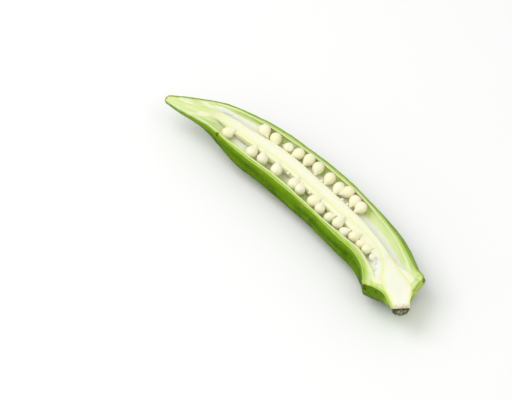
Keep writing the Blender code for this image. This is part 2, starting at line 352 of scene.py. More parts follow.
def buildSections():
    # one closed line of (across, height) for each station, with the material slot of each stretch
    leftEdge, rightEdge = cutEdgeAngles(stations, depths)
    share = np.linspace(0, 1, pod["skinPoints"] + 1)
    angles = leftEdge[:, None] + (rightEdge - 360 - leftEdge)[:, None] * share
    wrapped = np.where(angles < -180, angles + 360, angles)
    along = np.repeat(stations[:, None], len(share), axis=1)
    radii = skinRadius(along, wrapped)
    skin = np.stack([
        radii * np.cos(np.radians(angles)) + profileAt(pod["sideShifts"], stations)[:, None],
        radii * np.sin(np.radians(angles)) - depths[:, None],
    ], axis=-1)
    skin[:, [0, -1], 1] = 0
    heights = profileAt(pod["tipHeights"], stations)[:, None]
    skin[..., 1] = np.maximum(skin[..., 1], -pod["flatDepth"]) * heights
    lines, inners = {}, {}
    for name, chamber in chambers.items():
        lines[name], inners[name] = chamberLine(chamber, stations, depths)
        lines[name][..., 1] *= heights

    def between(first, last, count):
        # straight rows of points from one side to the other
        steps = np.linspace(0, 1, count + 1)[None, :, None]
        return first[:, None] * (1 - steps) + last[:, None] * steps

    leftRim = between(skin[:, 0], lines["left"][:, 0], pod["rimPoints"])
    rightRim = between(skin[:, -1], lines["right"][:, 0], pod["rimPoints"])

    # top of the pith, or the bed that the column lies in
    edges = {name: np.stack([inner, 0 * stations], axis=-1) for name, inner in inners.items()}
    lips = {name: lines[name][:, -1] for name in lines}
    sides = {name: between(lips[name], edges[name], pod["sidePoints"]) for name in lines}
    top = between(edges["right"], edges["left"], pod["pithPoints"])
    over = np.concatenate([sides["right"][:, 1:], top[:, 1:], sides["left"][:, -2::-1]], axis=1)
    offset, holder = holderShape(stations)
    holder = holder + column["bedGap"]
    bedShare = np.linspace(0, 1, over.shape[1] + 1)[1:]
    ends = [np.degrees(np.arctan2(lips[n][:, 1] + depths, lips[n][:, 0] - offset))
            for n in ("right", "left")]
    ends[0] = np.where(ends[0] > 0, ends[0] - 360, ends[0])
    turn = ends[0][:, None] + (ends[1] - ends[0])[:, None] * bedShare
    bed = np.stack([offset[:, None] + holder[:, None] * np.cos(np.radians(turn)),
                    holder[:, None] * np.sin(np.radians(turn)) - depths[:, None]], axis=-1)
    inBed = stretch(stations, *column["bedReach"])[:, None, None]
    middle = over * (1 - inBed) + bed * inBed

    section = np.concatenate([
        skin,
        rightRim[:, 1:],
        lines["right"][:, 1:],
        middle[:, :-1],
        lines["left"][:, ::-1],
        leftRim[:, -2:0:-1],
    ], axis=1)
    rim, hole = pod["rimPoints"], pod["chamberPoints"]
    slots = np.repeat([skinSlot, fleshSlot, liningSlot, fleshSlot, liningSlot, fleshSlot],
                      [pod["skinPoints"], rim, hole, middle.shape[1], hole, rim])
    return section, slots


skinSlot, fleshSlot, liningSlot, stemSlot = range(4)
section, sectionSlots = buildSections()
outline = spotAt(stations[:, None], section[..., 0], section[..., 1])
low, high = outline.reshape(-1, 3).min(0), outline.reshape(-1, 3).max(0)
middleOfBox = (cadBox[0] + cadBox[1]) / 2 / mm
shift = np.append(np.array(middleOfBox)[:2] - (low + high)[:2] / 2, cadBox[0][2] / mm + pod["flatDepth"])
cutLevel = float(shift[2] * mm)
upright = Vector((0, 0, 1))


def inMetres(along, across, height):
    return (spotAt(along, across, height) + shift) * mm


def pithHalf(along, across):
    return np.where(across > 0, profileAt(column["pithLeft"], along),
                    profileAt(column["pithRight"], along))


def linked(name, mesh):
    made = bpy.data.objects.new(name, mesh)
    bpy.context.scene.collection.objects.link(made)
    return made


def addValues(mesh, name, values):
    mesh.attributes.new(name, "FLOAT", "POINT").data.foreach_set("value", np.ravel(values).astype(np.float32))


def ringQuads(rows, columns):
    # closed rings of quads between rows of points
    i, j = np.meshgrid(np.arange(rows - 1), np.arange(columns), indexing="ij")
    k = (j + 1) % columns
    return np.stack([i * columns + j, (i + 1) * columns + j, (i + 1) * columns + k, i * columns + k],
                    axis=-1).reshape(-1, 4)


def buildPod():
    rows, columns = section.shape[:2]
    rim, hole = pod["rimPoints"], pod["chamberPoints"]
    across, height = section[..., 0], section[..., 1]
    along = np.repeat(stations[:, None], columns, axis=1)

    # where each point lies on the pod, for the materials
    def beyond(left, right):
        # how far out a point lies past one of two columns of points, whichever is on its side
        return np.abs(across) - np.abs(np.where(across > 0, across[:, [left]], across[:, [right]]))

    rimDist = np.where(np.arange(columns) <= pod["skinPoints"], 0, -beyond(0, pod["skinPoints"]))
    pithDist = np.abs(across) - pithHalf(along, across)
    shoreDist = beyond(columns - rim, pod["skinPoints"] + rim)
    share = np.linspace(0, 1, hole + 1)
    solid = pod["skinPoints"] + rim
    inside = columns - solid - 2 * len(share) - rim + 1
    hollow = np.concatenate([np.zeros(solid), share, np.ones(inside), share[::-1], np.zeros(rim - 1)])
    hollow = np.tile(hollow, (rows, 1))
    steps = np.hypot(*np.moveaxis(np.diff(section, axis=1), -1, 0))
    arc = np.cumsum(np.pad(steps, ((0, 0), (1, 0))), axis=1)
    arc -= arc[:, [pod["skinPoints"] // 2]]

    # ends: rings that close on the axis, rounded at the tip and rough at the stem
    chance = np.random.default_rng(7)
    rings = np.linspace(1, 0, pod["endRings"] + 1)[1:-1]
    count = len(rings)
    around = np.arctan2(height, across)

    def uneven(angles, waves):
        return sum(chance.uniform(0.4, 1) * np.sin(angles * k + chance.uniform(0, 6)) for k in waves) / 4

    def shrunk(row, share, out):
        return np.stack([along[row] + out, across[row] * share, height[row] * share], axis=-1)

    def broken(share):
        ripple, turns = pod["stemRipple"]
        out = pod["stemDome"] * math.sqrt(1 - share**3) + ripple * math.sin(share * turns) * rough
        return out + pod["stemRoughness"] * (1 - share) * (rough - pod["stemSink"])

    rough = uneven(around[-1], range(2, 9))
    tips = [shrunk(0, share, -pod["tipDome"] * math.sqrt(1 - share**2)) for share in rings[::-1]]
    stems = [shrunk(-1, share, broken(share)) for share in rings]
    ragged = uneven(around, range(3, 12)) * smoothStep(pod["raggedFrom"], pod["length"], along)
    body = np.stack([along + pod["raggedness"] * ragged, across, height], axis=-1)
    sheets = np.concatenate([tips, body, stems])
    total = len(sheets)
    ends = [(stations[0] - pod["tipDome"], 0, 0),
            (pod["length"] + pod["stemDome"] - pod["stemRoughness"] * pod["stemSink"], 0, 0)]
    flat = np.concatenate([sheets.reshape(-1, 3), ends])
    quads = ringQuads(total, columns).tolist()
    tipPoint, lastRow = total * columns, (total - 1) * columns
    following = [(j + 1) % columns for j in range(columns)]
    fans = [(tipPoint, j, k) for j, k in enumerate(following)]
    fans += [(tipPoint + 1, lastRow + k, lastRow + j) for j, k in enumerate(following)]
    mesh = bpy.data.meshes.new("pod_half")
    mesh.from_pydata(inMetres(*flat.T).tolist(), [], quads + fans)

    slots = np.tile(sectionSlots, (total - 1, 1))
    slots[-count:] = stemSlot
    slots[:count, sectionSlots == liningSlot] = fleshSlot
    tipSlots = np.minimum(sectionSlots, fleshSlot)
    slots = np.concatenate([slots.reshape(-1), tipSlots, np.full(columns, stemSlot)])
    mesh.polygons.foreach_set("material_index", slots)

    def padded(values, atEnds):
        # the end rings repeat the values of the row that they close
        return np.append(np.pad(values, ((count, count), (0, 0)), mode="edge"), [atEnds, atEnds])

    fromMiddle = np.repeat(np.concatenate([rings[::-1], np.ones(rows), rings]), columns)
    fromMiddle = np.append(fromMiddle, [0, 0])
    for name, values in {
        "along": flat[:, 0],
        "rimDist": padded(rimDist, 3),
        "pithDist": padded(pithDist, -1),
        "hollow": padded(hollow, 1),
        "shoreDist": padded(shoreDist, 3),
        "fromMiddle": fromMiddle,
        "fromRing": fromRing(flat[:, 0], np.degrees(np.arctan2(flat[:, 2], flat[:, 1]))),
    }.items():
        addValues(mesh, name, values)

    # the map, in mm, follows the skin round and the cut face across
    corners = np.zeros(len(mesh.loops), dtype=np.int64)
    mesh.loops.foreach_get("vertex_index", corners)
    onSkin = np.repeat(np.tile(sectionSlots == skinSlot, total + 1), [4] * len(quads) + [3] * len(fans))
    arcs = (padded(arc, 0) * fromMiddle)[corners]
    pairs = np.stack([flat[corners, 0], np.where(onSkin, arcs, flat[corners, 1])], axis=-1)
    mesh.uv_layers.new(name="podUV").data.foreach_set("uv", pairs.reshape(-1).astype(np.float32))
    mesh.shade_smooth()
    mesh.set_sharp_from_angle(angle=math.radians(pod["sharpAngle"]))
    return linked("pod_half", mesh)


# Seeds of the two opened rows: distance along the axis, across it, height over the cut face,
# where the point looks (along, towards the column), size and how far the coat has sunk in.
seeds = {
    "radius": 2.2,
    "sides": 28,
    "rings": 18,
    "point": 1.7,
    "narrowing": [(0, 1), (0.5, 1), (0.72, 1), (0.84, 0.84), (0.92, 0.56), (0.97, 0.36), (1, 0.2)],
    "lumps": 0.2,
    "lumpScale": 420,
    "dentDepth": 0.5,
    "dentReach": (0.72, 0.99),
    "fall": {"left": -0.2, "right": 0.42},
    "left": [
        (35.5, 5.3, -0.6, (0.9, 0.5), 1, 0), (40.9, 5.05, -0.6, (0.7, 0.7), 1, 0),
        (47, 5.1, -0.8, (-1, 0.1), 0.82, 1), (51.6, 5.45, -0.6, (-0.5, 0.8), 0.97, 0.2),
        (56.1, 6.1, -0.6, (0, 1), 0.97, 0), (60.9, 5.7, -0.6, (0.4, 0.9), 1, 0),
        (67.2, 5.4, -0.6, (0.2, 1), 1, 0), (72.4, 5, -0.8, (0.2, 1), 0.97, 0),
        (76.2, 6.2, -0.35, (-0.5, 0.85), 0.98, 0), (80.6, 5.6, -0.7, (0.2, 1), 1, 0.1),
        (84.3, 5.4, -0.5, (0, 1), 0.97, 0.3), (66.2, 2.4, -0.45, (0, 1), 0.24, 0),
        (77.4, 2.3, -0.45, (0, 1), 0.22, 0), (80.2, 2.3, -0.5, (0, 1), 0.22, 0),
    ],
    "right": [
        (25.8, -3.65, -1, (0.7, 0.7), 0.95, 0.6), (38.5, -5.35, -1, (0, 1), 1, 0),
        (43.7, -5.15, -1, (-0.5, 0.85), 0.95, 0), (51.1, -5.5, -1, (-0.5, 0.85), 1, 0),
        (60, -5.7, -1, (0, 1), 0.97, 0), (63.6, -5.8, -1.1, (-0.5, 0.85), 0.9, 0),
        (71.1, -5.9, -1, (0.5, 0.85), 1, 0), (75.4, -6.3, -1.1, (-0.5, 0.85), 0.9, 0),
        (80.4, -6.1, -1.6, (0.5, 0.85), 0.88, 0), (85.2, -5.6, -0.4, (0, 1), 0.95, 0),
        (89.3, -6, -1.6, (0.5, 0.85), 0.85, 0), (93.9, -4.7, -0.4, (0.4, 0.9), 0.9, 0),
        (97.4, -4.3, -1.7, (0.5, 0.85), 0.8, 0), (101.4, -4, -0.6, (0.6, 0.8), 0.85, 0),
        (105.2, -3.6, -1.5, (0.3, 0.9), 0.62, 0), (55.4, -3.9, -0.5, (0, 1), 0.24, 0),
        (67.4, -4.4, -0.6, (0, 1), 0.24, 0),
    ],
}


def setInputs(tree, node, inputs):
    # a socket is linked, anything else is set on the input itself
    for name, value in inputs.items():
        if isinstance(value, bpy.types.NodeSocket):
            tree.links.new(value, node.inputs[name])
        else:
            node.inputs[name].default_value = value


def addNode(tree, kind, inputs=None, **settings):
    made = tree.nodes.new(kind)
    for name, value in settings.items():
        setattr(made, name, value)
    setInputs(tree, made, inputs or {})
    return made


# A socket knows the tree that it is in, so what starts from one needs no other word of it.
def maths(operation, a, b=0.5):
    return addNode(a.id_data, "ShaderNodeMath", {0: a, 1: b}, operation=operation).outputs[0]


def times(first, *others):
    for other in others:
        first = maths("MULTIPLY", first, other)
    return first


def vectorMaths(operation, a, b=None):
    inputs = {0: a}
    if b is not None:
        inputs["Scale" if operation == "SCALE" else 1] = b
    made = addNode(a.id_data, "ShaderNodeVectorMath", inputs, operation=operation)
    return made.outputs["Value" if operation in ("DOT_PRODUCT", "DISTANCE") else 0]


def split(vector):
    return addNode(vector.id_data, "ShaderNodeSeparateXYZ", {0: vector}).outputs


def joined(x, y, z=0):
    return addNode(x.id_data, "ShaderNodeCombineXYZ", {0: x, 1: y, 2: z}).outputs[0]


def ramp(value, low, high, toLow=0, toHigh=1):
    # eases from 0 at the low place to 1 at the high one, which may lie before it
    return addNode(value.id_data, "ShaderNodeMapRange", {
        "Value": value, "From Min": low, "From Max": high, "To Min": toLow, "To Max": toHigh,
    }, interpolation_type="SMOOTHSTEP").outputs[0]


def noiseAt(place, scale, detail=3):
    inputs = {"Vector": place, "Scale": scale, "Detail": detail}
    return addNode(place.id_data, "ShaderNodeTexNoise", inputs).outputs[0]


def position(tree):
    return addNode(tree, "GeometryNodeInputPosition").outputs[0]


def namedValue(tree, name, kind="FLOAT"):
    return addNode(tree, "GeometryNodeInputNamedAttribute", {"Name": name}, data_type=kind).outputs[0]


def store(geometry, name, value, kind="FLOAT", domain="POINT"):
    return addNode(geometry.id_data, "GeometryNodeStoreNamedAttribute", {
        "Geometry": geometry, "Name": name, "Value": value,
    }, data_type=kind, domain=domain).outputs[0]


def moved(geometry, **inputs):
    return addNode(geometry.id_data, "GeometryNodeSetPosition", {"Geometry": geometry, **inputs}).outputs[0]


def smoothed(geometry):
    return addNode(geometry.id_data, "GeometryNodeSetShadeSmooth", {0: geometry}).outputs[0]


def realized(geometry):
    return addNode(geometry.id_data, "GeometryNodeRealizeInstances", {0: geometry}).outputs[0]


def newTree(name, floats, integers):
    tree = bpy.data.node_groups.new(name, "GeometryNodeTree")
    tree.interface.new_socket("source", in_out="INPUT", socket_type="NodeSocketGeometry")
    for labels, kind in ((integers, "NodeSocketInt"), (floats, "NodeSocketFloat")):
        for label in labels:
            tree.interface.new_socket(label, in_out="INPUT", socket_type=kind)
    tree.interface.new_socket("made", in_out="OUTPUT", socket_type="NodeSocketGeometry")
    return tree, addNode(tree, "NodeGroupInput").outputs


def endTree(geometry, material):
    tree = geometry.id_data
    inputs = {"Geometry": realized(geometry), "Material": material}
    done = addNode(tree, "GeometryNodeSetMaterial", inputs).outputs[0]
    addNode(tree, "NodeGroupOutput", {0: done})
    return tree


def guide(name, points, edges, vectors, values):
    # what a tree starts from: points in metres, with their named vectors and values
    mesh = bpy.data.meshes.new(name)
    mesh.from_pydata(points, edges, [])
    for label, rows in vectors.items():
        mesh.attributes.new(label, "FLOAT_VECTOR", "POINT").data.foreach_set("vector", np.ravel(rows))
    for label, row in values.items():
        addValues(mesh, label, row)
    return linked(name, mesh)


def runTree(holder, tree, values):
    # what the tree makes of the holder, as a plain mesh; the holder is not kept
    modifier = holder.modifiers.new(tree.name, "NODES")
    modifier.node_group = tree
    for item in tree.interface.items_tree:
        if item.item_type == "SOCKET" and item.in_out == "INPUT" and item.name in values:
            modifier[item.identifier] = values[item.name]
    graph = bpy.context.evaluated_depsgraph_get()
    made = bpy.data.meshes.new_from_object(holder.evaluated_get(graph))
    bpy.data.objects.remove(holder)
    return made


def seedTree(coat):
    tree, given = newTree("hanging seeds", ("radius", "point", "lumps", "dentDepth"), ("sides", "rings"))
    ball = addNode(tree, "GeometryNodeMeshUVSphere", {
        "Segments": given["sides"], "Rings": given["rings"], "Radius": 1,
    }).outputs[0]
    place = position(tree)
    x, y, z = split(place)
    up = addNode(tree, "ShaderNodeMapRange", {"Value": z, "From Min": -1}).outputs[0]
    curve = addNode(tree, "ShaderNodeFloatCurve", {"Value": up})
    line = curve.mapping.curves[0]
    line.points[0].location, line.points[1].location = seeds["narrowing"][0], seeds["narrowing"][-1]
    for spot in seeds["narrowing"][1:-1]:
        line.points.new(*spot)
    curve.mapping.update()
    narrow = curve.outputs[0]
    rise = maths("POWER", maths("MAXIMUM", z, 0), 3)
    longer = times(rise, maths("SUBTRACT", given["point"], 1))
    drop = joined(times(x, narrow), times(y, narrow), maths("ADD", z, longer))
    marked = store(moved(ball, Position=drop), "towardsPoint", z)
    turned = addNode(tree, "FunctionNodeAlignRotationToVector", {
        "Vector": namedValue(tree, "pointWay", "FLOAT_VECTOR"),
    }, axis="Z").outputs[0]
    placed = addNode(tree, "GeometryNodeInstanceOnPoints", {
        "Points": given["source"], "Instance": marked, "Rotation": turned,
        "Scale": vectorMaths("SCALE", namedValue(tree, "seedSize", "FLOAT_VECTOR"), given["radius"]),
    }).outputs[0]
    shade = addNode(tree, "FunctionNodeRandomValue", {"Seed": 5}, data_type="FLOAT").outputs[1]
    real = realized(store(placed, "seedShade", shade, domain="INSTANCE"))
    # lumps over the coat, and the coat sunk in on the side that looks up
    outward = vectorMaths("SUBTRACT", place, namedValue(tree, "centre", "FLOAT_VECTOR"))
    outward = vectorMaths("NORMALIZE", outward)
    lump = times(maths("SUBTRACT", noiseAt(place, seeds["lumpScale"], 2), 0.5), given["lumps"])
    facing = vectorMaths("DOT_PRODUCT", outward, namedValue(tree, "dentWay", "FLOAT_VECTOR"))
    sunk = times(ramp(facing, *seeds["dentReach"], 0, -mm), namedValue(tree, "dent"), given["dentDepth"])
    uneven = moved(real, Offset=vectorMaths("SCALE", outward, maths("ADD", lump, sunk)))
    return endTree(smoothed(uneven), coat)


def buildSeeds(coat):
    chance = random.Random(3)
    vectors = {"pointWay": [], "seedSize": [], "centre": [], "dentWay": []}
    dents = []
    for row, side in (("left", 1), ("right", -1)):
        for along, across, height, (ahead, inward), size, dent in seeds[row]:
            heading = math.radians(float(profileAt(pod["headings"], along)))
            inward *= -side
            vectors["pointWay"].append(Vector((
                math.cos(heading) * ahead - math.sin(heading) * inward,
                math.sin(heading) * ahead + math.cos(heading) * inward,
                seeds["fall"][row],
            )).normalized())
            vectors["centre"].append(inMetres(along, across, height).tolist())
            wide = chance.uniform(0.95, 1.03)
            vectors["seedSize"].append((size * wide, size / wide, size * chance.uniform(0.97, 1.06)))
            lean = chance.uniform(-0.3, 0.6), chance.uniform(-0.6, 0.3), 0.8
            vectors["dentWay"].append(Vector(lean).normalized())
            dents.append(dent)
    holder = guide("seed centres", vectors["centre"], [], vectors, {"dent": dents})
    values = {label: seeds[label] for label in ("sides", "rings", "point", "dentDepth")}
    values |= {label: seeds[label] * mm for label in ("radius", "lumps")}
    return linked("seeds", runTree(holder, seedTree(coat), values))


def columnTree(flesh):
    # tube along the path, cut level with the pod's cut face
    tree, given = newTree("seed column", (), ("sides",))
    curve = addNode(tree, "GeometryNodeMeshToCurve", {"Mesh": given["source"]}).outputs[0]
    curve = addNode(tree, "GeometryNodeSetCurveNormal", {"Curve": curve}, mode="Z_UP").outputs[0]
    ring = addNode(tree, "GeometryNodeCurvePrimitiveCircle", {"Resolution": given["sides"], "Radius": 1})
    tube = addNode(tree, "GeometryNodeCurveToMesh", {
        "Curve": curve, "Profile Curve": ring.outputs[0], "Scale": namedValue(tree, "holderRadius"),
        "Fill Caps": True,
    }).outputs[0]
    x, y, z = split(position(tree))
    body = moved(tube, Position=joined(x, y, maths("MINIMUM", z, namedValue(tree, "topHeight"))))
    across = vectorMaths("SUBTRACT", position(tree), namedValue(tree, "axisSpot", "FLOAT_VECTOR"))
    across = vectorMaths("DOT_PRODUCT", across, namedValue(tree, "acrossWay", "FLOAT_VECTOR"))
    across = maths("DIVIDE", across, mm)
    half = addNode(tree, "GeometryNodeSwitch", {
        "Switch": maths("GREATER_THAN", across, 0),
        "False": namedValue(tree, "pithRight"), "True": namedValue(tree, "pithLeft"),
    }, input_type="FLOAT").outputs[0]
    body = store(body, "pithDist", maths("SUBTRACT", maths("ABSOLUTE", across), half))
    body = store(body, "podUV", joined(namedValue(tree, "along"), across), "FLOAT2", "CORNER")
    # all of it counts as far inside the rim and the chambers' edges
    body = store(store(body, "rimDist", 9), "shoreDist", -9)
    return endTree(smoothed(body), flesh)


def buildColumn(flesh):
    # its ends sink a little and run on inside the pith, so that no seam shows
    overlap = column["overlap"]
    along = np.arange(column["start"] - overlap, column["end"] + overlap + 0.01, column["stationGap"])
    level = stretch(along, *column["levelReach"])
    whole = stretch(along, *column["wholeReach"])
    heading = np.radians(profileAt(pod["headings"], along))
    depth = profileAt(pod["axisDepths"], along)
    offset, radius = holderShape(along)
    path = inMetres(along, offset, -depth).tolist()
    vectors = {
        "axisSpot": inMetres(along, 0, -depth),
        "acrossWay": np.stack([-np.sin(heading), np.cos(heading), 0 * heading], axis=-1),
    }
    values = {
        "along": along,
        "holderRadius": (radius - column["thinner"] * (1 - whole)) * mm,
        "topHeight": (shift[2] + column["lift"] - column["sink"] * (1 - level)) * mm,
        "pithLeft": profileAt(column["pithLeft"], along),
        "pithRight": profileAt(column["pithRight"], along),
    }
    edges = [(i, i + 1) for i in range(len(path) - 1)]
    holder = guide("column path", path, edges, vectors, values)
    made = runTree(holder, columnTree(flesh), {"sides": column["sides"]})
    made.set_sharp_from_angle(angle=math.radians(column["sharpAngle"]))
    return linked("seed_holder", made)


# Short hairs over the skin, and the fibres of the broken stem.
hairs = {
    "skin_fuzz": {"perSquareMetre": 1e6, "length": 0.00034, "width": 0.00004, "spread": 0.7,
                  "lowest": 0.0008, "part": skinSlot, "seed": 11},
    "stem_fibres": {"perSquareMetre": 5e6, "length": 0.0006, "width": 0.00008, "spread": 0.5,
                    "lowest": 0.0, "part": stemSlot, "seed": 4},
}


def hairTree(name, coat):
    tree, given = newTree(name, ("perSquareMetre", "length", "width", "spread", "lowest"), ("part", "seed"))
    rightPart = addNode(tree, "FunctionNodeCompare", {
        2: addNode(tree, "GeometryNodeInputMaterialIndex").outputs[0], 3: given["part"],
    }, data_type="INT", operation="EQUAL").outputs[0]
    above = maths("GREATER_THAN", split(position(tree))[2], given["lowest"])
    where = addNode(tree, "FunctionNodeBooleanMath", {0: rightPart, 1: above}, operation="AND").outputs[0]
    spots = addNode(tree, "GeometryNodeDistributePointsOnFaces", {
        "Mesh": given["source"], "Selection": where, "Density": given["perSquareMetre"],
        "Seed": given["seed"],
    }).outputs
    tilt = addNode(tree, "FunctionNodeRandomValue", {0: (-1, -1, -1), 1: (1, 1, 1), "Seed": 2},
                   data_type="FLOAT_VECTOR").outputs[0]
    way = vectorMaths("ADD", spots["Normal"], vectorMaths("SCALE", tilt, given["spread"]))
    turned = addNode(tree, "FunctionNodeAlignRotationToVector", {"Vector": way}, axis="Z").outputs[0]
    cone = addNode(tree, "GeometryNodeMeshCone", {
        "Vertices": 3, "Radius Top": 0, "Radius Bottom": given["width"], "Depth": given["length"],
    }, fill_type="TRIANGLE_FAN").outputs[0]
    size = addNode(tree, "FunctionNodeRandomValue", {2: 0.5, 3: 1.3, "Seed": 9}, data_type="FLOAT").outputs[1]
    placed = addNode(tree, "GeometryNodeInstanceOnPoints", {
        "Points": spots[0], "Instance": cone, "Rotation": turned, "Scale": size,
    }).outputs[0]
    return endTree(placed, coat)


def growHairs(name, body, coat):
    holder = linked(name + " base", body.data.copy())
    return linked(name, runTree(holder, hairTree(name, coat), hairs[name]))


def srgb(red, green, blue):
    # colour as read off a screen, turned linear
    return tuple(((v / 255 + 0.055) / 1.055) ** 2.4 if v > 10 else v / 255 / 12.92
                 for v in (red, green, blue)) + (1,)


def blend(factor, a, b):
    return addNode(factor.id_data, "ShaderNodeMix", {0: factor, 6: a, 7: b}, data_type="RGBA").outputs[2]


def paint(colour, rows):
    # tints laid over the colour one after another; each row is a mask, its share and the tint
    for mask, share, tint in rows:
        colour = blend(mask if share == 1 else times(mask, share), colour, srgb(*tint))
    return colour


def attributes(tree, *names):
    return [addNode(tree, "ShaderNodeAttribute", attribute_name=name).outputs["Fac"] for name in names]


def useGroup(tree, group, **inputs):
    return addNode(tree, "ShaderNodeGroup", inputs, node_tree=group).outputs[0]


def maskGroup(name, vectors, floats):
    # node group that puts out one mask
    tree = bpy.data.node_groups.new(name, "ShaderNodeTree")
    for label in vectors:
        tree.interface.new_socket(label, in_out="INPUT", socket_type="NodeSocketVector")
    for label, value in floats.items():
        made = tree.interface.new_socket(label, in_out="INPUT", socket_type="NodeSocketFloat")
        made.default_value = value
    tree.interface.new_socket("mask", in_out="OUTPUT", socket_type="NodeSocketFloat")
    return addNode(tree, "NodeGroupInput").outputs


def endGroup(mask):
    addNode(mask.id_data, "NodeGroupOutput", {"mask": mask})
    return mask.id_data


def streakGroup():
    # fine streaks that run along the pod; the map is in mm
    given = maskGroup("lengthwise streaks", ["map"], {"fineness": 1, "stretch": 12, "offset": 0})
    along, across = split(given["map"])[:2]
    place = joined(maths("DIVIDE", along, given["stretch"]), across, given["offset"])
    return endGroup(ramp(noiseAt(place, given["fineness"], 4), 0.34, 0.66))


def speckGroup():
    # scattered small specks
    given = maskGroup("specks", ["place"], {"fineness": 500, "size": 0.3, "share": 0.3})
    tree = given["place"].id_data
    inputs = {"Vector": given["place"], "Scale": given["fineness"]}
    cells = addNode(tree, "ShaderNodeTexVoronoi", inputs).outputs
    near = ramp(maths("DIVIDE", cells["Distance"], given["size"]), 1, 0.6)
    picked = addNode(tree, "ShaderNodeSeparateColor", {0: cells["Color"]}).outputs[0]
    return endGroup(times(near, maths("LESS_THAN", picked, given["share"])))


def spotGroup():
    # one mark with a ragged edge round a place on the pod
    given = maskGroup("mark", ["place", "centre"], {"size": 0.001, "raggedness": 1.8})
    far = maths("DIVIDE", vectorMaths("DISTANCE", given["place"], given["centre"]), given["size"])
    ragged = times(maths("SUBTRACT", noiseAt(given["place"], 1600), 0.5), given["raggedness"])
    return endGroup(ramp(maths("ADD", far, ragged), 1.1, 0.5))


streaks, specks, mark = streakGroup(), speckGroup(), spotGroup()

# Marks on the skin and on the cut face: (along, across, height) in mm, size in mm, colour.
marks = {
    "skin": [
        ((-1.8, 0, -0.5), 1.3, (122, 70, 40)), ((119.2, -11, -0.6), 0.7, (84, 60, 20)),
        ((119.4, -11.2, -2), 0.8, (70, 48, 16)), ((121.2, 10, -0.8), 1.3, (96, 62, 24)),
        ((122.2, -7.6, -1.6), 0.55, (58, 62, 20)), ((23.3, -6.9, -0.5), 1, (92, 60, 26)),
        ((47.5, -9.9, -1), 0.8, (150, 150, 60)), ((70, -10.3, -1.2), 0.8, (150, 150, 60)),
        ((23.2, 7.4, -0.4), 0.6, (90, 120, 30)),
    ],
    "flesh": [
        ((-1.9, 0.1, 0), 0.9, (140, 84, 50)), ((23.3, -6.6, 0), 0.7, (106, 70, 30)),
        ((119.2, -10.9, 0), 0.5, (112, 78, 30)), ((121.3, 10, 0), 0.8, (120, 84, 40)),
        ((121, 7.3, 0), 0.7, (196, 212, 150)), ((119.5, 8.6, 0), 0.5, (190, 206, 150)),
    ],
    "lining": [
        ((102.1, 2.7, -0.4), 0.45, (196, 180, 140)), ((107.4, -3.4, -0.5), 0.5, (206, 212, 200)),
        ((108.4, -3.6, -0.5), 0.5, (196, 204, 196)), ((109.5, -4, -0.5), 0.5, (200, 206, 198)),
        ((111.7, -4.9, -0.4), 0.5, (196, 204, 198)), ((112.8, -5.8, -0.4), 0.5, (200, 206, 200)),
    ],
}


def addMarks(colour, place, rows):
    for spot, size, tint in rows:
        centre = inMetres(*spot).tolist()
        mask = useGroup(place.id_data, mark, place=place, centre=centre, size=size * mm)
        colour = paint(colour, [(mask, 0.85, tint)])
    return colour


def newMaterial(name):
    made = bpy.data.materials.new(name)
    made.use_nodes = True
    return made, addNode(made.node_tree, "ShaderNodeTexCoord").outputs["Object"]


def podMapIn(tree):
    return addNode(tree, "ShaderNodeUVMap", uv_map="podUV").outputs[0]


def finished(made, inputs):
    setInputs(made.node_tree, made.node_tree.nodes["Principled BSDF"], inputs)
    return made


def bumped(height, strength, distance):
    inputs = {"Height": height, "Strength": strength, "Distance": distance}
    return addNode(height.id_data, "ShaderNodeBump", inputs).outputs[0]


